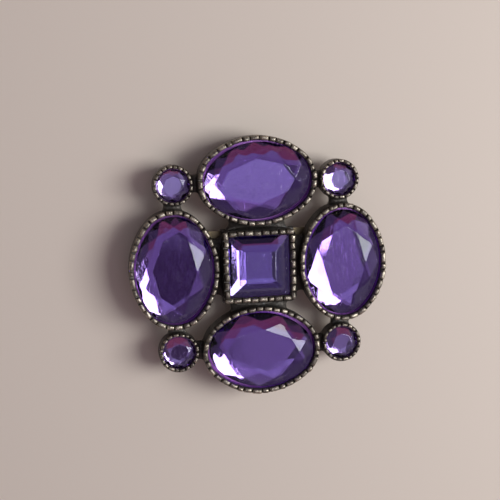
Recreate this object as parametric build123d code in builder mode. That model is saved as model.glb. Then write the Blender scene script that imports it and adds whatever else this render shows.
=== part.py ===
from build123d import *
from math import atan2, cos, degrees, pi, sin
import os

# A brooch of nine foil-backed stones. A cast frame holds four oval cups round a square one and a small
# round cup at each corner. A bar pin with a turning safety catch is soldered to its back.
# The origin is the middle of the frame's flat back. +Z points out of the stones, and +Y is up when worn.

# Oval stones: size at the edge, straight edge, and the faceted crown above it
oval_length = 17.6
oval_width = 12.6
oval_end_radius = 4.8
oval_edge_height = 1.3
oval_crown_height = 1.3
oval_crown_width = 2.65
oval_main_count = 8
# Square stone, step cut
square_side = 10.0
square_edge_height = 1.2
square_lower_step_width = 1.4
square_lower_step_height = 0.9
square_upper_step_width = 1.1
square_upper_step_height = 0.5
# Round stones
round_diameter = 5.3
round_edge_height = 0.85
round_crown_height = 0.8
round_crown_width = 1.05
round_main_count = 8
# How far the star facets' tips reach from the table to the edge, as a share of the crown's width
star_reach = 0.55
# How far each oval stone is turned in its loose cup, as a share of about what its clearance allows
oval_turns = {"top": 0.75, "bottom": -0.75, "left": -0.5, "right": -0.3}

# Cups and webs of the frame casting
cup_floor = 1.4
stone_clearance = 0.07
oval_clearance = 0.27
oval_wall = 0.8
square_wall = 1.05
round_wall = 0.6
wall_height = 3.05
round_wall_height = 2.45
cup_gap = 0.65
web_height = 1.6
web_radius = 1.0
web_step = 0.15
# Milled bars along the rims
bar_height = 0.75
bar_gap = 0.26
oval_bar_count = 36
square_bar_count = 32
round_bar_height = 0.6
round_bar_gap = 0.22
round_bar_count = 20

# Layers under each stone: a bed of adhesive, then the stone's foil
bed_thickness = 0.15
bed_margin = 0.3
foil_thickness = 0.06
foil_margin = 0.1

# Bar pin: base strip with two ears, rivet and pin
strip_length = 32.0
strip_width = 4.6
strip_thickness = 0.5
strip_corner_radius = 1.0
strip_hole_diameter = 1.8
strip_hole_spacing = 11.0
strip_up = 3.5
hinge_inset = 2.6
pin_depth = 2.0
pin_diameter = 0.7
eye_diameter = 1.9
eye_width = 1.0
eye_side_clearance = 0.05
ear_diameter = 1.9
ear_thickness = 0.5
rivet_diameter = 0.8
rivet_running_clearance = 0.05
rivet_seat_clearance = 0.02
rivet_head_diameter = 1.3
rivet_head_height = 0.25
point_taper = 6.5
point_diameter = 0.1
point_overhang = 1.2

# Safety catch: a slotted barrel on a foot, and a slotted rotor with a thumb lever inside it
catch_inset = 2.9
catch_length = 2.8
catch_wall = 0.34
catch_neck_width = 1.8
catch_foot_thickness = 0.35
catch_foot_margin = 0.4
rotor_diameter = 1.9
rotor_clearance = 0.06
rotor_overhang = 0.15
slot_clearance = 0.09
lever_thickness = 0.8
lever_width = 0.8
lever_reach = 2.4
lever_clearance = 0.12

os.makedirs("parts", exist_ok=True)


def finish(part, name):
    """Labels a finished piece and writes its file."""
    part.label = name
    export_step(part, f"parts/{name}.step")


# Stones' outlines -----------------------------------------------------------------------------------


def oval_side_radius():
    """Radius of the two flat arcs that meet the end arcs of the oval smoothly."""
    along, across = oval_length / 2 - oval_end_radius, oval_width / 2
    return (along**2 + across**2 - oval_end_radius**2) / (2 * (across - oval_end_radius))


def oval(grow=0.0):
    """An oval stone's outline as four arcs, moved outwards by grow."""
    end_centre = oval_length / 2 - oval_end_radius
    side_centre = oval_side_radius() - oval_width / 2
    meet = degrees(atan2(side_centre, end_centre))
    with BuildSketch() as outline:
        with BuildLine():
            CenterArc((end_centre, 0), oval_end_radius + grow, -meet, 2 * meet)
            CenterArc((0, -side_centre), oval_side_radius() + grow, meet, 180 - 2 * meet)
            CenterArc((-end_centre, 0), oval_end_radius + grow, 180 - meet, 2 * meet)
            CenterArc((0, side_centre), oval_side_radius() + grow, 180 + meet, 180 - 2 * meet)
        make_face()
    return outline.sketch


def square(grow=0.0):
    """The square stone's outline, moved outwards by grow."""
    with BuildSketch() as outline:
        Rectangle(square_side + 2 * grow, square_side + 2 * grow)
    return outline.sketch


def disc(grow=0.0):
    """A round stone's outline, moved outwards by grow."""
    with BuildSketch() as outline:
        Circle(round_diameter / 2 + grow)
    return outline.sketch


# Places of the cups ---------------------------------------------------------------------------------

oval_outer = oval(oval_clearance + oval_wall)
square_outer = square(stone_clearance + square_wall)
round_outer = disc(stone_clearance + round_wall)
oval_reach = (square_outer.bounding_box().size.Y + oval_outer.bounding_box().size.Y) / 2 + cup_gap


def corner_reach():
    """How far along x and y a corner cup stands with its wall one cup gap from the oval cups."""
    upper_oval = oval_outer.moved(Location((0, oval_reach, 0)))
    away = round_outer.bounding_box().size.X / 2 + cup_gap
    near, far = oval_reach / 2, 2 * oval_reach
    while far - near > 1e-6:
        middle = (near + far) / 2
        if upper_oval.distance_to(Vector(middle, middle, 0)) > away:
            far = middle
        else:
            near = middle
    return far


round_reach = corner_reach()
oval_places = {
    "top": Location((0, oval_reach, 0)),
    "bottom": Location((0, -oval_reach, 0)),
    "left": Location((-oval_reach, 0, 0), (0, 0, 90)),
    "right": Location((oval_reach, 0, 0), (0, 0, 90)),
}
square_places = {"centre": Location((0, 0, 0))}
round_places = {
    "upper_left": Location((-round_reach, round_reach, 0)),
    "upper_right": Location((round_reach, round_reach, 0)),
    "lower_left": Location((-round_reach, -round_reach, 0)),
    "lower_right": Location((round_reach, -round_reach, 0)),
}

# Frame casting --------------------------------------------------------------------------------------


def places_round(outline, count):
    """Places at even steps round a closed outline, each with its x along it, from half a step in."""
    places = []
    for step in range(count):
        point = outline @ ((step + 0.5) / count)
        tangent = outline % ((step + 0.5) / count)
        places.append(Location((point.X, point.Y, 0), (0, 0, degrees(atan2(tangent.Y, tangent.X)))))
    return places


def milled_cup(outer, seat, wall, height, rim_height, bars, gap):
    """A cup with a flat floor, whose rim is cut through into a row of short bars."""
    with BuildPart() as cup:
        with BuildSketch():
            add(outer)
        extrude(amount=height + rim_height)
        with BuildSketch(Plane.XY.offset(cup_floor)):
            add(seat)
        extrude(amount=height + rim_height, mode=Mode.SUBTRACT)
        with BuildSketch(Plane.XY.offset(height)):
            with Locations(*places_round(outer.wire(), bars)):
                Rectangle(gap, 3 * wall)
        extrude(amount=rim_height, mode=Mode.SUBTRACT)
    return cup.part


oval_seat = oval(oval_clearance)
square_seat = square(stone_clearance)
round_seat = disc(stone_clearance)
rim = (wall_height, bar_height)
round_rim = (round_wall_height, round_bar_height)
oval_cup = milled_cup(oval_outer, oval_seat, oval_wall, *rim, oval_bar_count, bar_gap)
square_cup = milled_cup(square_outer, square_seat, square_wall, *rim, square_bar_count, bar_gap)
round_cup = milled_cup(round_outer, round_seat, round_wall, *round_rim, round_bar_count, round_bar_gap)

with BuildSketch() as cup_outlines:
    with Locations(*oval_places.values()):
        add(oval_outer)
    add(square_outer)
    with Locations(*round_places.values()):
        add(round_outer)

# The webs close each gap narrower than two web radii, and stay a step inside the cups' walls
with BuildSketch() as web_outline:
    for outline in cup_outlines.faces():
        offset(outline, amount=web_radius, mode=Mode.ADD)
    offset(amount=-web_radius - web_step)

with BuildPart() as frame_casting:
    with BuildSketch():
        add(web_outline.sketch)
    extrude(amount=web_height)
    with BuildSketch(Plane.XY.offset(cup_floor)):
        with Locations(*oval_places.values()):
            add(oval_seat)
        add(square_seat)
        with Locations(*round_places.values()):
            add(round_seat)
    extrude(amount=web_height, mode=Mode.SUBTRACT)
    cups = [square_cup]
    cups += [oval_cup.moved(place) for place in oval_places.values()]
    cups += [round_cup.moved(place) for place in round_places.values()]
    add(cups)
finish(frame_casting.part, "frame_casting")

# Stones ---------------------------------------------------------------------------------------------

stone_seat = cup_floor + bed_thickness + foil_thickness


def facet(first, second, third):
    """The plane through three points of the crown, facing up and out."""
    across = (second - first).cross(third - first)
    return Plane(first, z_dir=across if across.Z > 0 else across * -1)


def crown_planes(rim, out, mains, crown_height, crown_width):
    """Planes of the mains, stars and girdle facets, measured from the top of the edge.

    rim and out give the outline's point and its outward way at a share of a full turn."""
    slope = crown_height / crown_width

    def corner(turn):
        return rim(turn) - out(turn) * crown_width + Vector(0, 0, crown_height)

    for step in range(mains):
        here, middle, after = (turn / mains for turn in (step, step + 0.5, step + 1))
        # The tip of the star facet lies on the lower of the two mains beside it
        star_tip = rim(middle) - out(middle) * crown_width * (1 - star_reach)
        tip_height = min(slope * (rim(turn) - star_tip).dot(out(turn)) for turn in (here, after))
        star_tip += Vector(0, 0, tip_height)
        yield Plane(rim(here), z_dir=out(here) * slope + Vector(0, 0, 1))
        yield facet(corner(here), corner(after), star_tip)
        yield facet(rim(here), rim(middle), star_tip)
        yield facet(rim(middle), rim(after), star_tip)


def brilliant_stone(outline, length, width, mains, edge_height, crown_height, crown_width):
    """A flat-backed stone with a brilliant crown, standing on its foil."""

    def out(turn):
        return Vector(cos(2 * pi * turn) * width, sin(2 * pi * turn) * length).normalized()

    def rim(turn):
        far = out(turn) * 2 * length
        sideways = Vector(-far.Y, far.X)
        line = Edge.make_line(far - sideways, far + sideways)
        return outline.wire().closest_points(line)[0]

    with BuildPart() as stone:
        with BuildSketch(Plane.XY.offset(stone_seat)):
            add(outline)
        extrude(amount=edge_height + crown_height)
        for plane in crown_planes(rim, out, mains, crown_height, crown_width):
            plane.origin += Vector(0, 0, stone_seat + edge_height)
            split(bisect_by=plane, keep=Keep.BOTTOM)
    return stone.part


def step_cut_stone():
    """The square stone: a flat back, a straight edge and two steps up to its table."""
    with BuildPart() as stone:
        with BuildSketch(Plane.XY.offset(stone_seat)):
            add(square())
        extrude(amount=square_edge_height)
        for width, height in (
            (square_lower_step_width, square_lower_step_height),
            (square_upper_step_width, square_upper_step_height),
        ):
            extrude(stone.faces().sort_by(Axis.Z)[-1], amount=height, taper=degrees(atan2(width, height)))
    return stone.part


oval_stone = brilliant_stone(
    oval(), oval_length, oval_width, oval_main_count, oval_edge_height, oval_crown_height, oval_crown_width
)
round_size = (round_diameter, round_diameter)
round_stone = brilliant_stone(
    disc(), *round_size, round_main_count, round_edge_height, round_crown_height, round_crown_width
)

# Layers under the stones ----------------------------------------------------------------------------


def layer(outline, height, thickness):
    """A thin flat layer of one outline."""
    with BuildPart() as sheet:
        with BuildSketch(Plane.XY.offset(height)):
            add(outline)
        extrude(amount=thickness)
    return sheet.part


# Each stone, its foil and its bed of adhesive go into their cup together
loose_turn = degrees(2 * oval_clearance / (oval_length - oval_width))
oval_stone_places = {}
for name, place in oval_places.items():
    oval_stone_places[name] = place * Location((0, 0, 0), (0, 0, oval_turns[name] * loose_turn))
for shape, stone, places in (
    (oval, oval_stone, oval_stone_places),
    (square, step_cut_stone(), square_places),
    (disc, round_stone, round_places),
):
    foil = layer(shape(-foil_margin), cup_floor + bed_thickness, foil_thickness)
    bed = layer(shape(-bed_margin), cup_floor, bed_thickness)
    for name, place in places.items():
        finish(stone.moved(place), f"stone_{name}")
        finish(foil.moved(place), f"foil_{name}")
        finish(bed.moved(place), f"adhesive_{name}")

# Bar pin --------------------------------------------------------------------------------------------

hinge_x = -strip_length / 2 + hinge_inset
catch_x = strip_length / 2 - catch_inset
tip_x = catch_x + catch_length / 2 + point_overhang
ear_gap = eye_width + 2 * eye_side_clearance
ears_width = ear_gap + 2 * ear_thickness
pin_line = Axis((hinge_x, strip_up, -pin_depth), (1, 0, 0))
# Looking along +Y at the middle of the strip, with sketch x along X and sketch y along Z
side_view = Plane.XZ.offset(-strip_up)

with BuildPart() as bar_strip:
    with BuildSketch(Plane.XY.offset(-strip_thickness)):
        with Locations((0, strip_up)):
            RectangleRounded(strip_length, strip_width, strip_corner_radius)
            with GridLocations(strip_hole_spacing, 0, 2, 1):
                Circle(strip_hole_diameter / 2, mode=Mode.SUBTRACT)
    extrude(amount=strip_thickness)
    # Two ears, folded up from the strip, with the rivet's hole through both
    with BuildSketch(side_view):
        with Locations((hinge_x, -pin_depth)):
            Circle(ear_diameter / 2)
            Rectangle(ear_diameter, pin_depth - strip_thickness, align=(Align.CENTER, Align.MIN))
    extrude(amount=ears_width / 2, both=True)
    with BuildSketch(side_view):
        with Locations((hinge_x, -strip_thickness)):
            Rectangle(2 * ear_diameter, 2 * pin_depth, align=(Align.CENTER, Align.MAX))
    extrude(amount=ear_gap / 2, both=True, mode=Mode.SUBTRACT)
    with BuildSketch(side_view):
        with Locations((hinge_x, -pin_depth)):
            Circle(rivet_diameter / 2 + rivet_seat_clearance)
    extrude(amount=ears_width, both=True, mode=Mode.SUBTRACT)
finish(bar_strip.part, "bar_strip")

with BuildPart() as hinge_rivet:
    with BuildSketch(side_view):
        with Locations((hinge_x, -pin_depth)):
            Circle(rivet_diameter / 2)
    extrude(amount=ears_width / 2 + rivet_head_height, both=True)
    for side in (-1, 1):
        with BuildSketch(side_view.offset(side * ears_width / 2)):
            with Locations((hinge_x, -pin_depth)):
                Circle(rivet_head_diameter / 2)
        extrude(amount=side * rivet_head_height)
finish(hinge_rivet.part, "hinge_rivet")

with BuildPart() as pin_stem:
    # A straight wire, ground to a long point
    with BuildSketch(side_view):
        with BuildLine():
            Polyline(
                (hinge_x, -pin_depth),
                (hinge_x, -pin_depth + pin_diameter / 2),
                (tip_x - point_taper, -pin_depth + pin_diameter / 2),
                (tip_x, -pin_depth + point_diameter / 2),
                (tip_x, -pin_depth),
                close=True,
            )
        make_face()
    revolve(axis=pin_line)
    # Its flattened eye, which turns on the rivet between the ears
    with BuildSketch(side_view):
        with Locations((hinge_x, -pin_depth)):
            Circle(eye_diameter / 2)
    extrude(amount=eye_width / 2, both=True)
    with BuildSketch(side_view):
        with Locations((hinge_x, -pin_depth)):
            Circle(rivet_diameter / 2 + rivet_running_clearance)
    extrude(amount=eye_width, both=True, mode=Mode.SUBTRACT)
finish(pin_stem.part, "pin_stem")

# Safety catch ---------------------------------------------------------------------------------------

rotor_radius = rotor_diameter / 2
barrel_radius = rotor_radius + rotor_clearance + catch_wall
slot_width = pin_diameter + 2 * slot_clearance
window_length = lever_thickness + 2 * lever_clearance
lever_side = lever_width / 2 + lever_clearance
# Looking along the pin's line through the middle of the catch, with sketch x along Y and sketch y along Z
end_view = Plane.YZ.offset(catch_x)

with BuildPart() as catch_housing:
    with BuildSketch(end_view):
        with Locations((strip_up, -pin_depth)):
            Circle(barrel_radius)
            Rectangle(catch_neck_width, pin_depth - strip_thickness, align=(Align.CENTER, Align.MIN))
    extrude(amount=catch_length / 2, both=True)
    with BuildSketch(Plane.XY.offset(-strip_thickness)):
        with Locations((catch_x, strip_up)):
            foot_width = 2 * (barrel_radius + catch_foot_margin)
            RectangleRounded(catch_length + 2 * catch_foot_margin, foot_width, catch_foot_margin)
    extrude(amount=-catch_foot_thickness)
    # The bore for the rotor, open along the side where the pin drops in
    with BuildSketch(end_view):
        with Locations((strip_up, -pin_depth)):
            Circle(rotor_radius + rotor_clearance)
            Rectangle(slot_width, 2 * barrel_radius, align=(Align.CENTER, Align.MAX))
    extrude(amount=catch_length, both=True, mode=Mode.SUBTRACT)
    # The window for the lever, from its open position round to the slot's side
    with BuildSketch(end_view):
        with Locations((strip_up + lever_side, lever_side - pin_depth)):
            Rectangle(4 * barrel_radius, 4 * barrel_radius, align=Align.MAX)
    extrude(amount=window_length / 2, both=True, mode=Mode.SUBTRACT)
finish(catch_housing.part, "catch_housing")

with BuildPart() as catch_rotor:
    with BuildSketch(end_view):
        with Locations((strip_up, -pin_depth)):
            Circle(rotor_radius)
    extrude(amount=catch_length / 2 + rotor_overhang, both=True)
    with BuildSketch(end_view):
        with Locations((strip_up - lever_reach / 2, -pin_depth)):
            SlotOverall(lever_reach + lever_width, lever_width)
    extrude(amount=lever_thickness / 2, both=True)
    with BuildSketch(end_view):
        with Locations((strip_up, -pin_depth)):
            Circle(slot_width / 2)
            Rectangle(slot_width, 2 * rotor_radius, align=(Align.CENTER, Align.MAX))
    extrude(amount=catch_length, both=True, mode=Mode.SUBTRACT)
finish(catch_rotor.part, "catch_rotor")
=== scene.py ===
import math

import bmesh
import bpy
from mathutils import Matrix, Vector, noise


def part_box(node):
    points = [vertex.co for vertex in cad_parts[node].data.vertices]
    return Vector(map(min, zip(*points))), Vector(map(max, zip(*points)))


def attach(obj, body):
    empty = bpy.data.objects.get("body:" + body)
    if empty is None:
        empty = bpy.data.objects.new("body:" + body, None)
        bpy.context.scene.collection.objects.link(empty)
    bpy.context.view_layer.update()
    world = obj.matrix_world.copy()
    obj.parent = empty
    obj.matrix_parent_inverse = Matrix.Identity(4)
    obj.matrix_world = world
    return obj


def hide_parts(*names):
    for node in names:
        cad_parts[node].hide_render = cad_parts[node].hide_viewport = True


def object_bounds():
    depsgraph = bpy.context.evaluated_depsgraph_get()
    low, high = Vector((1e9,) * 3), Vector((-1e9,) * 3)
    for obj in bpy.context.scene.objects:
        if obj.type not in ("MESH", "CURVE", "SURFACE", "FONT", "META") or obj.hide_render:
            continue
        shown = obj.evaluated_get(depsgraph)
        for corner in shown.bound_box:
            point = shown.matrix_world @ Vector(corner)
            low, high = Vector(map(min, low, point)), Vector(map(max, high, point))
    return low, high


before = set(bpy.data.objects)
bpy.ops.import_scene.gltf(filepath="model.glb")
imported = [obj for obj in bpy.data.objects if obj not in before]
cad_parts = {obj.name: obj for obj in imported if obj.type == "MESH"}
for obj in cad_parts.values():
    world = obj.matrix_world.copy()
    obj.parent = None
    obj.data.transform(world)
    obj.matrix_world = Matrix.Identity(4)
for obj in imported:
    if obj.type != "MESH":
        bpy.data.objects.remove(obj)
cad_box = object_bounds()
mm = 0.001

# Table and camera. The brooch lies face up on a plain pale table, standing a little off it on its bar pin.
# It is looked down on from a hand's length above, slightly from its upper left.
table_colour = (0.74, 0.62, 0.53)
table_reach = 1500 * mm
table_height = cad_box[0][2]
camera_distance = 180 * mm
camera_turn = math.radians(137.7)
camera_tilt = math.radians(13.07)
camera_roll = math.radians(-3.02)
lens_share = 2.143
lens_shift = (-0.0134, 0.0272)
sensor = 36.0


def nodes_of(tree):
    """A short way to add a node, with its settings and its inputs set or linked. Input i6 is the seventh."""

    def add(kind, settings=None, **inputs):
        made = tree.nodes.new(kind)
        for key, value in (settings or {}).items():
            setattr(made, key, value)
        for key, value in inputs.items():
            numbered = key[0] == "i" and key[1:].isdigit()
            slot = made.inputs[int(key[1:]) if numbered else key.replace("_", " ")]
            if isinstance(value, bpy.types.NodeSocket):
                tree.links.new(value, slot)
            else:
                slot.default_value = value
        return made

    return add


def new_material(name):
    """An empty node material with its output, and the function that adds nodes to it."""
    material = bpy.data.materials.new(name)
    material.use_nodes = True
    tree = material.node_tree
    tree.nodes.clear()
    return material, nodes_of(tree)


def mesh_piece(name, built, materials, smooth=False):
    """A finished mesh at the origin, made from a bmesh."""
    data = bpy.data.meshes.new(name)
    built.to_mesh(data)
    built.free()
    for material in materials:
        data.materials.append(material)
    for face in data.polygons:
        face.use_smooth = smooth
    piece = bpy.data.objects.new(name, data)
    bpy.context.scene.collection.objects.link(piece)
    return piece


table_paint, add = new_material("table_paint")
paint = add("ShaderNodeBsdfPrincipled", Base_Color=(*table_colour, 1), Roughness=0.75)
add("ShaderNodeOutputMaterial", Surface=paint.outputs[0])
built = bmesh.new()
bmesh.ops.create_grid(built, x_segments=1, y_segments=1, size=table_reach)
bmesh.ops.translate(built, verts=built.verts, vec=(0, 0, table_height))
mesh_piece("table", built, [table_paint])

towards = Vector((
    math.sin(camera_tilt) * math.cos(camera_turn),
    math.sin(camera_tilt) * math.sin(camera_turn),
    math.cos(camera_tilt),
))
level = (Vector((1, 0, 0)) - towards * towards.x).normalized()
camera_data = bpy.data.cameras.new("camera")
camera_data.sensor_width = sensor
camera_data.lens = sensor * lens_share
camera_data.shift_x, camera_data.shift_y = lens_shift
camera_data.clip_start = 1 * mm
camera = bpy.data.objects.new("camera", camera_data)
across = level * math.cos(camera_roll) + towards.cross(level) * math.sin(camera_roll)
turned = Matrix((across, towards.cross(across), towards)).transposed()
camera.matrix_world = Matrix.Translation(towards * camera_distance) @ turned.to_4x4()
bpy.context.scene.collection.objects.link(camera)
bpy.context.scene.camera = camera
bpy.context.scene.view_settings.view_transform = "Standard"

# Light. One window up on the right and a dim room: a paler stretch of ceiling, its border by the window, the
# rosy shape of whoever bends over the table, and pale walls low down all round.
window_turn = math.radians(5)
window_rise = math.radians(51)
window_distance = 350 * mm
window_width = 158 * mm
window_height = 230 * mm
window_power = 1.0
window_colour = (0.92, 0.98, 1.0)
backdrop_light = (0.60, 0.54, 0.50)
room_light = (0.055, 0.045, 0.052)
dim_ceiling_light = (0.13, 0.118, 0.16)
ceiling_light = (0.66, 0.72, 0.86)
haze_light = (0.42, 0.40, 0.52)
camera_shade = (0.10, 0.08, 0.12)
border_light = (0.60, 0.64, 0.70)
person_light = (0.44, 0.15, 0.19)
glow_light = (0.42, 0.42, 0.42)
wall_light = (0.14, 0.13, 0.135)
least_rise = 0.02
far = 60.0

window_data = bpy.data.lights.new("window", "AREA")
window_data.shape = "RECTANGLE"
window_data.size = window_width
window_data.size_y = window_height
window_data.energy = window_power
window_data.color = window_colour
window = bpy.data.objects.new("window", window_data)
window_way = Vector((
    math.cos(window_rise) * math.cos(window_turn),
    math.cos(window_rise) * math.sin(window_turn),
    math.sin(window_rise),
))
window.location = window_way * window_distance
window.rotation_euler = window_way.to_track_quat("Z", "Y").to_euler()
bpy.context.scene.collection.objects.link(window)

world = bpy.data.worlds.new("room")
bpy.context.scene.world = world
world.use_nodes = True
world.node_tree.nodes.clear()
add = nodes_of(world.node_tree)
way = add("ShaderNodeSeparateXYZ", Vector=add("ShaderNodeTexCoord").outputs["Generated"]).outputs
height = add("ShaderNodeMath", {"operation": "MAXIMUM"}, i0=way["Z"], i1=least_rise).outputs[0]
slants = [
    add("ShaderNodeMath", {"operation": "DIVIDE"}, i0=way[axis], i1=height).outputs[0] for axis in ("X", "Y")
]
room = (*room_light, 1)
# Each light fills an oblong with soft sides, from one slant to another along x and then along y. A slant is how far
# across a direction goes for each step up, so a far slant lies low. Later lights cover earlier ones.
for light, soft, *sides in (
    (wall_light, 0.40, (-far, -1.30), (-far, far)),
    (wall_light, 0.40, (-1.30, far), (1.50, far)),
    (wall_light, 0.40, (-1.30, far), (-far, -1.70)),
    (dim_ceiling_light, 0.30, (-1.10, 1.40), (-1.10, 1.10)),
    (person_light, 0.10, (-0.20, 0.50), (-0.95, -0.30)),
    (haze_light, 0.06, (-0.25, 0.40), (-0.44, -0.05)),
    (camera_shade, 0.03, (-0.08, 0.14), (-0.27, -0.06)),
    (haze_light, 0.05, (0.03, 0.42), (0.02, 0.30)),
    (ceiling_light, 0.04, (0.03, 0.34), (-0.11, 0.15)),
    (border_light, 0.05, (-0.42, -0.15), (-0.50, -0.25)),
    (glow_light, 0.30, (1.40, 4.00), (-2.20, 2.60)),
    (backdrop_light, 0.50, (-far, -3.00), (-far, far)),
    (backdrop_light, 0.50, (3.50, far), (-far, far)),
    (backdrop_light, 0.50, (-far, far), (3.00, far)),
    (backdrop_light, 0.50, (-far, far), (-far, -3.00)),
):
    shade = 1.0
    for slant, (low, high) in zip(slants, sides):
        for edge, sign in ((low, 1), (high, -1)):
            side = add(
                "ShaderNodeMapRange", {"interpolation_type": "SMOOTHSTEP"}, Value=slant,
                From_Min=edge - soft * sign, From_Max=edge + soft * sign,
            ).outputs[0]
            shade = add("ShaderNodeMath", {"operation": "MULTIPLY"}, i0=shade, i1=side).outputs[0]
    room = add("ShaderNodeMix", {"data_type": "RGBA"}, i0=shade, i6=room, i7=(*light, 1)).outputs[2]
add("ShaderNodeOutputWorld", Surface=add("ShaderNodeBackground", Color=room).outputs[0])

# Frame casting. Nine cups and the webs between them are cast in one piece of zinc alloy, plated antique brass,
# stained dark and rubbed back, so that the milled bars on the rims shine pale and the recesses stay black.
oval_length = 17.6 * mm
oval_width = 12.6 * mm
oval_end_radius = 4.8 * mm
oval_clearance = 0.27 * mm
oval_wall = 0.8 * mm
square_side = 10.0 * mm
square_corner = 0.1 * mm
square_wall = 1.05 * mm
round_diameter = 5.3 * mm
round_wall = 0.6 * mm
small_clearance = 0.07 * mm
cup_floor = 1.4 * mm
wall_height = 3.05 * mm
round_wall_height = 2.45 * mm
bar_height = 0.75 * mm
round_bar_height = 0.6 * mm
seat_ease = 0.01 * mm
bare_rim = 0.30 * mm
web_cut = 1.65 * mm
web_shrink = 0.03 * mm
cast_lump = 0.035 * mm
lump_detail = 0.9 / mm
merge_reach = 0.0005 * mm
smooth_turn = math.radians(50)
places = {}
for cup in ("top", "bottom", "left", "right", "centre", "upper_left", "upper_right", "lower_left", "lower_right"):
    low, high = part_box(f"stone_{cup}")
    places[cup] = ((low + high) / 2).to_2d()


def arc(centre, radius, start, sweep, steps):
    """Points on an arc, from its start up to but without its end."""
    points = []
    for step in range(steps):
        angle = start + sweep * step / steps
        points.append((centre[0] + radius * math.cos(angle), centre[1] + radius * math.sin(angle)))
    return points


def oval_line(grow):
    """An oval stone's outline, moved outwards by grow."""
    end = oval_length / 2 - oval_end_radius
    half = oval_width / 2
    side_radius = (end**2 + half**2 - oval_end_radius**2) / (2 * (half - oval_end_radius))
    side = side_radius - half
    meet = math.atan2(side, end)
    points = arc((end, 0), oval_end_radius + grow, -meet, 2 * meet, 36)
    points += arc((0, -side), side_radius + grow, meet, math.pi - 2 * meet, 44)
    points += arc((-end, 0), oval_end_radius + grow, math.pi - meet, 2 * meet, 36)
    points += arc((0, side), side_radius + grow, math.pi + meet, math.pi - 2 * meet, 44)
    return points


def square_line(grow):
    """The square stone's outline, moved outwards by grow, with its corners barely rounded."""
    inner = square_side / 2 - square_corner
    points = []
    for quarter in range(4):
        turn = quarter * math.pi / 2
        corner = Vector((inner, -inner, 0))
        corner.rotate(Matrix.Rotation(turn, 3, "Z"))
        points += arc(corner, square_corner + grow, turn - math.pi / 2, math.pi / 2, 8)
        for step in range(18):
            along = Vector((inner + square_corner + grow, inner * (2 * step / 18 - 1), 0))
            along.rotate(Matrix.Rotation(turn, 3, "Z"))
            points.append((along.x, along.y))
    return points


def round_line(grow):
    """A round stone's outline, moved outwards by grow."""
    return arc((0, 0), round_diameter / 2 + grow, 0, 2 * math.pi, 64)


def cup_shell(built, line, place, turn, clearance, wall, height):
    """One cup: a flat back, a wall with softened edges and a narrow outer lip, and an open seat, whose lower inner
    wall and floor carry the painted violet light.
    """
    outer = clearance + wall
    seat = clearance + seat_ease
    profile = (
        (outer - 0.30 * mm, 0.0), (outer - 0.10 * mm, 0.05 * mm), (outer - 0.02 * mm, 0.18 * mm),
        (outer, 0.45 * mm), (outer, height * 0.5), (outer, height - 0.25 * mm),
        (outer, height + 0.10 * mm), (outer - 0.05 * mm, height + 0.22 * mm), (outer - 0.13 * mm, height + 0.16 * mm),
        (outer - 0.20 * mm, height), (clearance + 0.10 * mm, height), (seat, height - 0.10 * mm),
        (seat, height - bare_rim), (seat, cup_floor),
    )
    spin = Matrix.Rotation(turn, 3, "Z")
    rings = []
    for grow, up in profile:
        ring = []
        for x, y in line(grow):
            point = spin @ Vector((x, y, up)) + place.to_3d()
            if 0.3 * mm < up < height and grow > clearance + wall / 2:
                lump = noise.noise(point * lump_detail) * cast_lump
                point -= (point - place.to_3d()).to_2d().normalized().to_3d() * abs(lump)
            ring.append(built.verts.new(point))
        rings.append(ring)
    for lower, upper in zip(rings, rings[1:]):
        for here in range(len(lower)):
            after = (here + 1) % len(lower)
            face = built.faces.new((lower[here], lower[after], upper[after], upper[here]))
            # The seat's lowest band and the cup's floor take the second material, the painted violet light
            face.material_index = int(upper is rings[-1])
    built.faces.new(rings[0][::-1])
    built.faces.new(rings[-1]).material_index = 1


oval_turns = {"top": 0.0, "bottom": 0.0, "left": math.pi / 2, "right": math.pi / 2}
shells = bmesh.new()
for cup, turn in oval_turns.items():
    cup_shell(shells, oval_line, places[cup], turn, oval_clearance, oval_wall, wall_height)
cup_shell(shells, square_line, places["centre"], 0, small_clearance, square_wall, wall_height)
for cup in ("upper_left", "upper_right", "lower_left", "lower_right"):
    cup_shell(shells, round_line, places[cup], 0, small_clearance, round_wall, round_wall_height)

# The webs keep the casting's own outline, cut off below the rims and a hair inside the cups' walls
webs = bmesh.new()
webs.from_mesh(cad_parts["frame_casting"].data)
bmesh.ops.remove_doubles(webs, verts=webs.verts, dist=merge_reach)
cut = bmesh.ops.bisect_plane(
    webs, geom=webs.verts[:] + webs.edges[:] + webs.faces[:], plane_co=(0, 0, web_cut), plane_no=(0, 0, 1),
    clear_outer=True,
)
bmesh.ops.triangle_fill(webs, edges=[e for e in cut["geom_cut"] if isinstance(e, bmesh.types.BMEdge)])
bmesh.ops.recalc_face_normals(webs, faces=webs.faces)
webs.normal_update()
for vert in webs.verts:
    vert.co -= vert.normal * web_shrink
spare = bpy.data.meshes.new("spare")
webs.to_mesh(spare)
webs.free()
shells.from_mesh(spare)
bpy.data.meshes.remove(spare)


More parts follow.
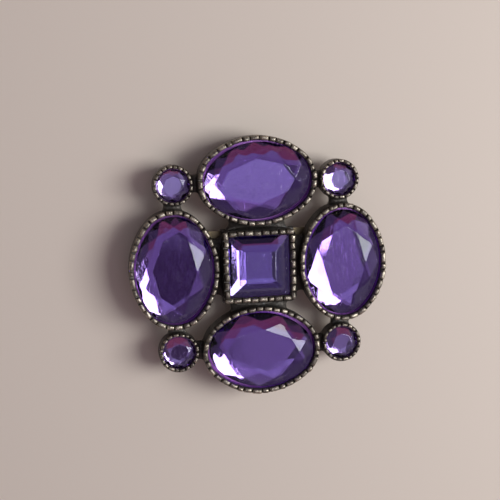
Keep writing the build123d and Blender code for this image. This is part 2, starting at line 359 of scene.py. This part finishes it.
def block_mesh(name):
    """One milled bar of unit size: arched across, its ends rounded off, and each point's height kept as its rise."""
    built = bmesh.new()
    rise = built.verts.layers.float.new("rise")
    rings = []
    for along, share in ((-0.5, 0.72), (-0.44, 0.94), (-0.30, 1.0), (0.30, 1.0), (0.44, 0.94), (0.5, 0.72)):
        ring = []
        for step in range(9):
            angle = math.pi * step / 8
            flat = abs(math.cos(angle)) ** 0.6 * math.copysign(1, math.cos(angle))
            up = math.sin(angle) ** 0.4 * share
            vert = built.verts.new((along, 0.5 * flat * (0.5 + 0.5 * share), up))
            vert[rise] = up
            ring.append(vert)
        rings.append(ring)
    for near, far in zip(rings, rings[1:]):
        for here in range(9):
            after = (here + 1) % 9
            built.faces.new((near[here], far[here], far[after], near[after]))
    built.faces.new(rings[0])
    built.faces.new(rings[-1][::-1])
    bmesh.ops.recalc_face_normals(built, faces=built.faces)
    data = bpy.data.meshes.new(name)
    built.to_mesh(data)
    built.free()
    block = bpy.data.objects.new(name, data)
    bpy.context.scene.collection.objects.link(block)
    return block


def milled_bars_tree():
    """A row of bars along a line: cuts at uneven steps, a few barely cut through, each bar a little different."""
    tree = bpy.data.node_groups.new("milled_bars", "GeometryNodeTree")
    tree.interface.new_socket("Geometry", in_out="OUTPUT", socket_type="NodeSocketGeometry")
    tree.interface.new_socket("Line", in_out="INPUT", socket_type="NodeSocketGeometry")
    for label, kind, value in (
        ("Bars", "NodeSocketInt", 36), ("Gap", "NodeSocketFloat", 0.26 * mm),
        ("Unevenness", "NodeSocketFloat", 0.2), ("Fused Share", "NodeSocketFloat", 0.1),
        ("Width", "NodeSocketFloat", 0.7 * mm), ("Height", "NodeSocketFloat", 0.85 * mm),
        ("Dents", "NodeSocketFloat", 0.05 * mm), ("Seed", "NodeSocketInt", 1),
        ("Block", "NodeSocketObject", None), ("Finish", "NodeSocketMaterial", None),
    ):
        socket = tree.interface.new_socket(label, in_out="INPUT", socket_type=kind)
        if value is not None:
            socket.default_value = value
    add = nodes_of(tree)
    given = add("NodeGroupInput").outputs

    def value(operation, first, second=0.0, third=0.0):
        """The outcome of one sum, product or comparison."""
        return add("ShaderNodeMath", {"operation": operation}, i0=first, i1=second, i2=third).outputs[0]

    def chance(low, high, number, salt):
        """A random value between low and high, the same each time for one bar, seed and salt."""
        made = add("FunctionNodeRandomValue", {"data_type": "FLOAT"})
        made.inputs[2].default_value = low
        made.inputs[3].default_value = high
        tree.links.new(number, made.inputs["ID"])
        tree.links.new(value("ADD", given["Seed"], salt), made.inputs["Seed"])
        return made.outputs[1]

    line = add("GeometryNodeMeshToCurve", Mesh=given["Line"]).outputs[0]
    length = add("GeometryNodeCurveLength", Curve=line).outputs[0]
    count = given["Bars"]
    points = add("GeometryNodePoints", Count=count).outputs[0]
    number = add("GeometryNodeInputIndex").outputs[0]

    def cut(step):
        """Where a cut lies along the line, from 0 to 1, and how wide it is."""
        around = value("MODULO", step, count)
        inner = value("GREATER_THAN", around, 0.5)
        shift = value("MULTIPLY", value("MULTIPLY", chance(-1.0, 1.0, around, 0), given["Unevenness"]), inner)
        fused = value("LESS_THAN", chance(0.0, 1.0, around, 7), given["Fused Share"])
        width = value("MULTIPLY", given["Gap"], chance(0.75, 1.3, around, 11))
        width = value("MULTIPLY", width, value("SUBTRACT", 1.0, value("MULTIPLY", fused, 0.85)))
        return value("DIVIDE", value("ADD", step, shift), count), width

    start, start_gap = cut(number)
    end, end_gap = cut(value("ADD", number, 1.0))
    middle = value("DIVIDE", value("ADD", start, end), 2.0)
    span = value("MULTIPLY", value("SUBTRACT", end, start), length)
    span = value("SUBTRACT", span, value("DIVIDE", value("ADD", start_gap, end_gap), 2.0))
    here = add("GeometryNodeSampleCurve", {"mode": "FACTOR", "use_all_curves": True}, Curves=line, Factor=middle)
    facing = add(
        "FunctionNodeAxesToRotation", {"primary_axis": "X", "secondary_axis": "Z"},
        Primary_Axis=here.outputs["Tangent"], Secondary_Axis=(0, 0, 1),
    )
    tilt = add("ShaderNodeCombineXYZ", X=chance(-0.15, 0.15, number, 3), Y=chance(-0.10, 0.10, number, 4),
               Z=chance(-0.06, 0.06, number, 5))
    turned = add("FunctionNodeRotateRotation", {"rotation_space": "LOCAL"}, Rotation=facing.outputs[0],
                 Rotate_By=tilt.outputs[0])
    size = add(
        "ShaderNodeCombineXYZ", X=span, Y=value("MULTIPLY", given["Width"], chance(0.9, 1.06, number, 6)),
        Z=value("MULTIPLY", given["Height"], chance(0.9, 1.0, number, 8)),
    )
    placed = add("GeometryNodeSetPosition", Geometry=points, Position=here.outputs["Position"])
    block = add("GeometryNodeObjectInfo", Object=given["Block"])
    rows = add(
        "GeometryNodeInstanceOnPoints", Points=placed.outputs[0], Instance=block.outputs["Geometry"],
        Rotation=turned.outputs[0], Scale=size.outputs[0],
    )
    toned = add("GeometryNodeStoreNamedAttribute", {"data_type": "FLOAT", "domain": "INSTANCE"},
                Geometry=rows.outputs[0], Name="tone")
    tree.links.new(chance(0.0, 1.0, number, 9), toned.inputs["Value"])
    solid = add("GeometryNodeRealizeInstances", Geometry=toned.outputs[0])
    lumps = add("ShaderNodeTexNoise", {"noise_dimensions": "3D"}, Scale=1.6 / mm, Detail=1.0)
    push = add("ShaderNodeVectorMath", {"operation": "SUBTRACT"}, i0=lumps.outputs["Color"], i1=(0.5, 0.5, 0.5))
    push = add("ShaderNodeVectorMath", {"operation": "SCALE"}, i0=push.outputs[0], Scale=given["Dents"])
    dented = add("GeometryNodeSetPosition", Geometry=solid.outputs[0], Offset=push.outputs[0])
    finished = add("GeometryNodeSetMaterial", Geometry=dented.outputs[0], Material=given["Finish"])
    add("NodeGroupOutput", Geometry=finished.outputs[0])
    return tree


def antique_brass(name, worn_colour, dark_colour, patina_colour):
    """Plated brass, stained dark in the hollows and rubbed pale where the bars stand up."""
    material, add = new_material(name)
    place = add("ShaderNodeTexCoord").outputs["Object"]
    fine = add("ShaderNodeTexNoise", Vector=place, Scale=2.6 / mm, Detail=3.0, Roughness=0.7).outputs[0]
    broad = add("ShaderNodeTexNoise", Vector=place, Scale=0.55 / mm, Detail=4.0, Roughness=0.6).outputs[0]
    rise = add("ShaderNodeAttribute", {"attribute_name": "rise"}).outputs["Fac"]
    tone = add("ShaderNodeAttribute", {"attribute_name": "tone"}).outputs["Fac"]
    rubbed = add("ShaderNodeMapRange", Value=rise, From_Min=0.3, From_Max=0.8, To_Min=0.2).outputs[0]
    patchy = add("ShaderNodeMapRange", Value=fine, From_Min=0.40, From_Max=0.56, To_Min=0.22).outputs[0]
    toned = add("ShaderNodeMapRange", Value=tone, To_Min=0.4, To_Max=1.0).outputs[0]
    for share in (patchy, toned):
        rubbed = add("ShaderNodeMath", {"operation": "MULTIPLY"}, i0=rubbed, i1=share).outputs[0]
    bloom = add("ShaderNodeMapRange", Value=broad, From_Min=0.5, From_Max=0.7).outputs[0]
    specks = add("ShaderNodeMapRange", Value=fine, From_Min=0.5, From_Max=0.62).outputs[0]
    bloom = add("ShaderNodeMath", {"operation": "MULTIPLY"}, i0=bloom, i1=specks).outputs[0]
    stain = add("ShaderNodeMix", {"data_type": "RGBA"}, i0=bloom, i6=(*dark_colour, 1), i7=(*patina_colour, 1))
    colour = add(
        "ShaderNodeMix", {"data_type": "RGBA"}, i0=rubbed, i6=stain.outputs[2], i7=(*worn_colour, 1),
    ).outputs[2]
    rough = add("ShaderNodeMapRange", Value=rubbed, To_Min=0.45, To_Max=0.30).outputs[0]
    bumps = add("ShaderNodeBump", Height=fine, Distance=0.10 * mm, Strength=0.9)
    bare = add("ShaderNodeMapRange", Value=rubbed, From_Max=0.5, To_Min=0.55, To_Max=0.95).outputs[0]
    metal = add(
        "ShaderNodeBsdfPrincipled", Base_Color=colour, Metallic=bare, Roughness=rough, Normal=bumps.outputs[0],
    )
    add("ShaderNodeOutputMaterial", Surface=metal.outputs[0])
    return material


brass = antique_brass(
    "antique_brass", worn_colour=(0.54, 0.46, 0.36), dark_colour=(0.052, 0.043, 0.039),
    patina_colour=(0.09, 0.10, 0.11),
)
# Painted light: the cups' lower inner walls and floors are a violet metal, which paints in the violet light that the
# dyed stones throw on the brass, in place of the brass itself
violet_light_paint, add = new_material("cup_wall_violet_light_paint")
place = add("ShaderNodeTexCoord").outputs["Object"]
cloudy = add("ShaderNodeTexNoise", Vector=place, Scale=1.2 / mm, Detail=3.0).outputs[0]
shades = add("ShaderNodeMix", {"data_type": "RGBA"}, i0=cloudy, i6=(0.40, 0.17, 0.50, 1), i7=(0.56, 0.27, 0.66, 1))
violet_lit_metal = add("ShaderNodeBsdfPrincipled", Base_Color=shades.outputs[2], Metallic=1.0, Roughness=0.45)
add("ShaderNodeOutputMaterial", Surface=violet_lit_metal.outputs[0])
block = block_mesh("bar_block")
bars_tree = milled_bars_tree()
sockets = {item.name: item.identifier for item in bars_tree.interface.items_tree if item.in_out == "INPUT"}


def add_bars(built, line, closed, height, **sizes):
    """Makes one row of bars along a line with the tree above, and joins it to the casting."""
    row = bmesh.new()
    verts = [row.verts.new((x, y, height)) for x, y in line]
    for here in range(len(verts) if closed else len(verts) - 1):
        row.edges.new((verts[here], verts[(here + 1) % len(verts)]))
    rail = mesh_piece("rail", row, [])
    rule = rail.modifiers.new("bars", "NODES")
    rule.node_group = bars_tree
    for label, size in {**sizes, "Block": block, "Finish": brass}.items():
        rule[sockets[label.replace("_", " ")]] = size
    bpy.context.view_layer.update()
    ready = rail.evaluated_get(bpy.context.evaluated_depsgraph_get())
    made = bpy.data.meshes.new_from_object(ready)
    for face in made.polygons:
        face.material_index = 0
    built.from_mesh(made)
    rail_data = rail.data
    bpy.data.objects.remove(rail)
    bpy.data.meshes.remove(rail_data)
    bpy.data.meshes.remove(made)


shells.verts.layers.float.new("tone")
shells.verts.layers.float.new("rise")
bar_sink = 0.12 * mm
oval_bar_line = oval_clearance + 0.41 * mm
square_bar_line = square_side / 2 + small_clearance + 0.48 * mm
square_bar_start = 0.4 * mm
round_bar_line = small_clearance + 0.27 * mm
for seed, (cup, turn) in enumerate(oval_turns.items()):
    line = [Matrix.Rotation(turn, 2) @ Vector(point) + places[cup] for point in oval_line(oval_bar_line)]
    add_bars(
        shells, line, True, wall_height - bar_sink, Bars=36, Gap=0.24 * mm, Unevenness=0.26, Fused_Share=0.1,
        Width=0.76 * mm, Height=bar_height + bar_sink, Dents=0.1 * mm, Seed=seed + 3,
    )
for quarter in range(4):
    corner = Matrix.Rotation(quarter * math.pi / 2, 2)
    ends = (-square_bar_line - square_bar_start, square_bar_line - square_bar_start)
    line = [corner @ Vector((x, -square_bar_line)) for x in ends]
    add_bars(
        shells, line, False, wall_height - bar_sink, Bars=8, Gap=0.24 * mm, Unevenness=0.14, Fused_Share=0.1,
        Width=0.8 * mm, Height=bar_height + bar_sink, Dents=0.1 * mm, Seed=quarter + 20,
    )
for seed, cup in enumerate(("upper_left", "upper_right", "lower_left", "lower_right")):
    line = [Vector(point) + places[cup] for point in round_line(round_bar_line)]
    add_bars(
        shells, line, True, round_wall_height - bar_sink, Bars=20, Gap=0.21 * mm, Unevenness=0.18, Fused_Share=0.08,
        Width=0.52 * mm, Height=round_bar_height + bar_sink, Dents=0.08 * mm, Seed=seed + 40,
    )
# The second material paints violet light on the cups' lower inner walls and floors
casting = mesh_piece("cast_frame", shells, [brass, violet_light_paint], smooth=True)
casting.data.set_sharp_from_angle(angle=smooth_turn)
bpy.data.objects.remove(block)
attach(casting, "brooch")
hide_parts("frame_casting")

# Stones. Clear purple acrylic, moulded with a faceted crown and a flat back, then tumbled: the facets' edges are
# soft and the tables carry fine scratches. The square stone's dye is a little bluer.
back_gap = 0.01 * mm
edge_round = 0.05 * mm
edge_turn = math.radians(6)
edge_foot = cup_floor + 0.5 * mm
flat_turn = math.radians(0.3)


def dyed_acrylic(name, dye_colour, dye_strength):
    """Clear acrylic dyed through, with faint ripples from the mould, smears and fine scratches."""
    material, add = new_material(name)
    place = add("ShaderNodeTexCoord").outputs["Object"]
    smears = add("ShaderNodeTexNoise", Vector=place, Scale=1.3 / mm, Detail=5.0, Roughness=0.65).outputs[0]
    polish = add("ShaderNodeMapRange", Value=smears, From_Min=0.5, From_Max=0.75, To_Min=0.0, To_Max=0.09).outputs[0]
    waves = add("ShaderNodeTexNoise", Vector=place, Scale=0.3 / mm, Detail=1.0).outputs[0]
    ripples = add("ShaderNodeBump", Height=waves, Distance=0.02 * mm, Strength=0.15).outputs[0]
    strokes = add("ShaderNodeMapping", Vector=place, Rotation=(0, 0, 0.5), Scale=(6.0, 0.7, 1.0)).outputs[0]
    strokes = add("ShaderNodeTexNoise", Vector=strokes, Scale=1.1 / mm, Detail=2.0).outputs[0]
    strokes = add("ShaderNodeMapRange", Value=strokes, From_Min=0.64, From_Max=0.68).outputs[0]
    scratches = add("ShaderNodeBump", Height=strokes, Distance=0.006 * mm, Strength=0.6, Normal=ripples).outputs[0]
    clear = add(
        "ShaderNodeBsdfPrincipled", Base_Color=(0.97, 0.95, 1.0, 1), Roughness=polish, IOR=1.49,
        Transmission_Weight=1.0, Normal=scratches,
    )
    dye = add("ShaderNodeVolumeAbsorption", Color=(*dye_colour, 1), Density=dye_strength)
    add("ShaderNodeOutputMaterial", Surface=clear.outputs[0], Volume=dye.outputs[0])
    return material


violet = dyed_acrylic("violet_acrylic", dye_colour=(0.50, 0.05, 0.93), dye_strength=250.0)
blue_violet = dyed_acrylic("blue_violet_acrylic", dye_colour=(0.375, 0.05, 0.93), dye_strength=256.0)
for cup in places:
    stone = bmesh.new()
    stone.from_mesh(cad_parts[f"stone_{cup}"].data)
    bmesh.ops.remove_doubles(stone, verts=stone.verts, dist=merge_reach)
    bmesh.ops.dissolve_limit(stone, angle_limit=flat_turn, verts=stone.verts, edges=stone.edges)
    bmesh.ops.recalc_face_normals(stone, faces=stone.faces)
    sharp = [
        edge for edge in stone.edges
        if edge.calc_face_angle(0) > edge_turn and max(vert.co.z for vert in edge.verts) > edge_foot
    ]
    bmesh.ops.bevel(stone, geom=sharp, offset=edge_round, segments=2, profile=0.5, affect="EDGES", clamp_overlap=True)
    # A hair of air keeps the stone's back and its foil out of one plane
    back = min(vert.co.z for vert in stone.verts)
    for vert in stone.verts:
        if vert.co.z < back + back_gap:
            vert.co.z += back_gap
    piece = mesh_piece(f"gem_{cup}", stone, [blue_violet if cup == "centre" else violet])
    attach(piece, "brooch")
    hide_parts(f"stone_{cup}")

# Foil and adhesive. Each stone's back is silvered with a thin foil that throws the light back through it, and
# sits in its cup on a bed of clear cement.
silver, add = new_material("silver_foil")
place = add("ShaderNodeTexCoord").outputs["Object"]
crinkle = add("ShaderNodeTexNoise", Vector=place, Scale=0.8 / mm, Detail=3.0).outputs[0]
creased = add("ShaderNodeBump", Height=crinkle, Distance=0.02 * mm, Strength=0.25)
leaf = add(
    "ShaderNodeBsdfPrincipled", Base_Color=(0.46, 0.46, 0.46, 1), Metallic=1.0, Roughness=0.05,
    Normal=creased.outputs[0],
)
add("ShaderNodeOutputMaterial", Surface=leaf.outputs[0])
cement, add = new_material("clear_cement")
place = add("ShaderNodeTexCoord").outputs["Object"]
clouds = add("ShaderNodeTexNoise", Vector=place, Scale=1.0 / mm, Detail=3.0).outputs[0]
shades = add("ShaderNodeMix", {"data_type": "RGBA"}, i0=clouds, i6=(0.55, 0.50, 0.34, 1), i7=(0.68, 0.64, 0.50, 1))
set_cement = add("ShaderNodeBsdfPrincipled", Base_Color=shades.outputs[2], Roughness=0.3)
add("ShaderNodeOutputMaterial", Surface=set_cement.outputs[0])
for cup in places:
    for node, material in ((f"foil_{cup}", silver), (f"adhesive_{cup}", cement)):
        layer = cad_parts[node]
        layer.data.materials.clear()
        layer.data.materials.append(material)

# Bar pin. A stamped brass strip with folded ears, a steel rivet and a hardened steel pin, with a cast barrel and
# a turning rotor that shuts over the point. The strip is soldered across the casting's back.
plated, add = new_material("plated_brass")
place = add("ShaderNodeTexCoord").outputs["Object"]
tarnish = add("ShaderNodeTexNoise", Vector=place, Scale=0.7 / mm, Detail=5.0, Roughness=0.6).outputs[0]
shades = add("ShaderNodeMix", {"data_type": "RGBA"}, i0=tarnish, i6=(0.16, 0.12, 0.07, 1), i7=(0.42, 0.33, 0.19, 1))
uneven = add("ShaderNodeMapRange", Value=tarnish, To_Min=0.25, To_Max=0.5).outputs[0]
strip_metal = add("ShaderNodeBsdfPrincipled", Base_Color=shades.outputs[2], Metallic=1.0, Roughness=uneven)
add("ShaderNodeOutputMaterial", Surface=strip_metal.outputs[0])
steel, add = new_material("pin_steel")
place = add("ShaderNodeTexCoord").outputs["Object"]
drawn = add("ShaderNodeMapping", Vector=place, Scale=(0.2, 3.0, 3.0)).outputs[0]
lines = add("ShaderNodeTexNoise", Vector=drawn, Scale=2.0 / mm, Detail=3.0).outputs[0]
uneven = add("ShaderNodeMapRange", Value=lines, To_Min=0.16, To_Max=0.36).outputs[0]
shades = add("ShaderNodeMix", {"data_type": "RGBA"}, i0=lines, i6=(0.50, 0.49, 0.47, 1), i7=(0.68, 0.67, 0.65, 1))
wire = add("ShaderNodeBsdfPrincipled", Base_Color=shades.outputs[2], Metallic=1.0, Roughness=uneven)
add("ShaderNodeOutputMaterial", Surface=wire.outputs[0])
for node, material in (
    ("bar_strip", plated), ("catch_housing", plated), ("catch_rotor", plated), ("hinge_rivet", steel),
    ("pin_stem", steel),
):
    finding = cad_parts[node]
    finding.data.materials.clear()
    finding.data.materials.append(material)
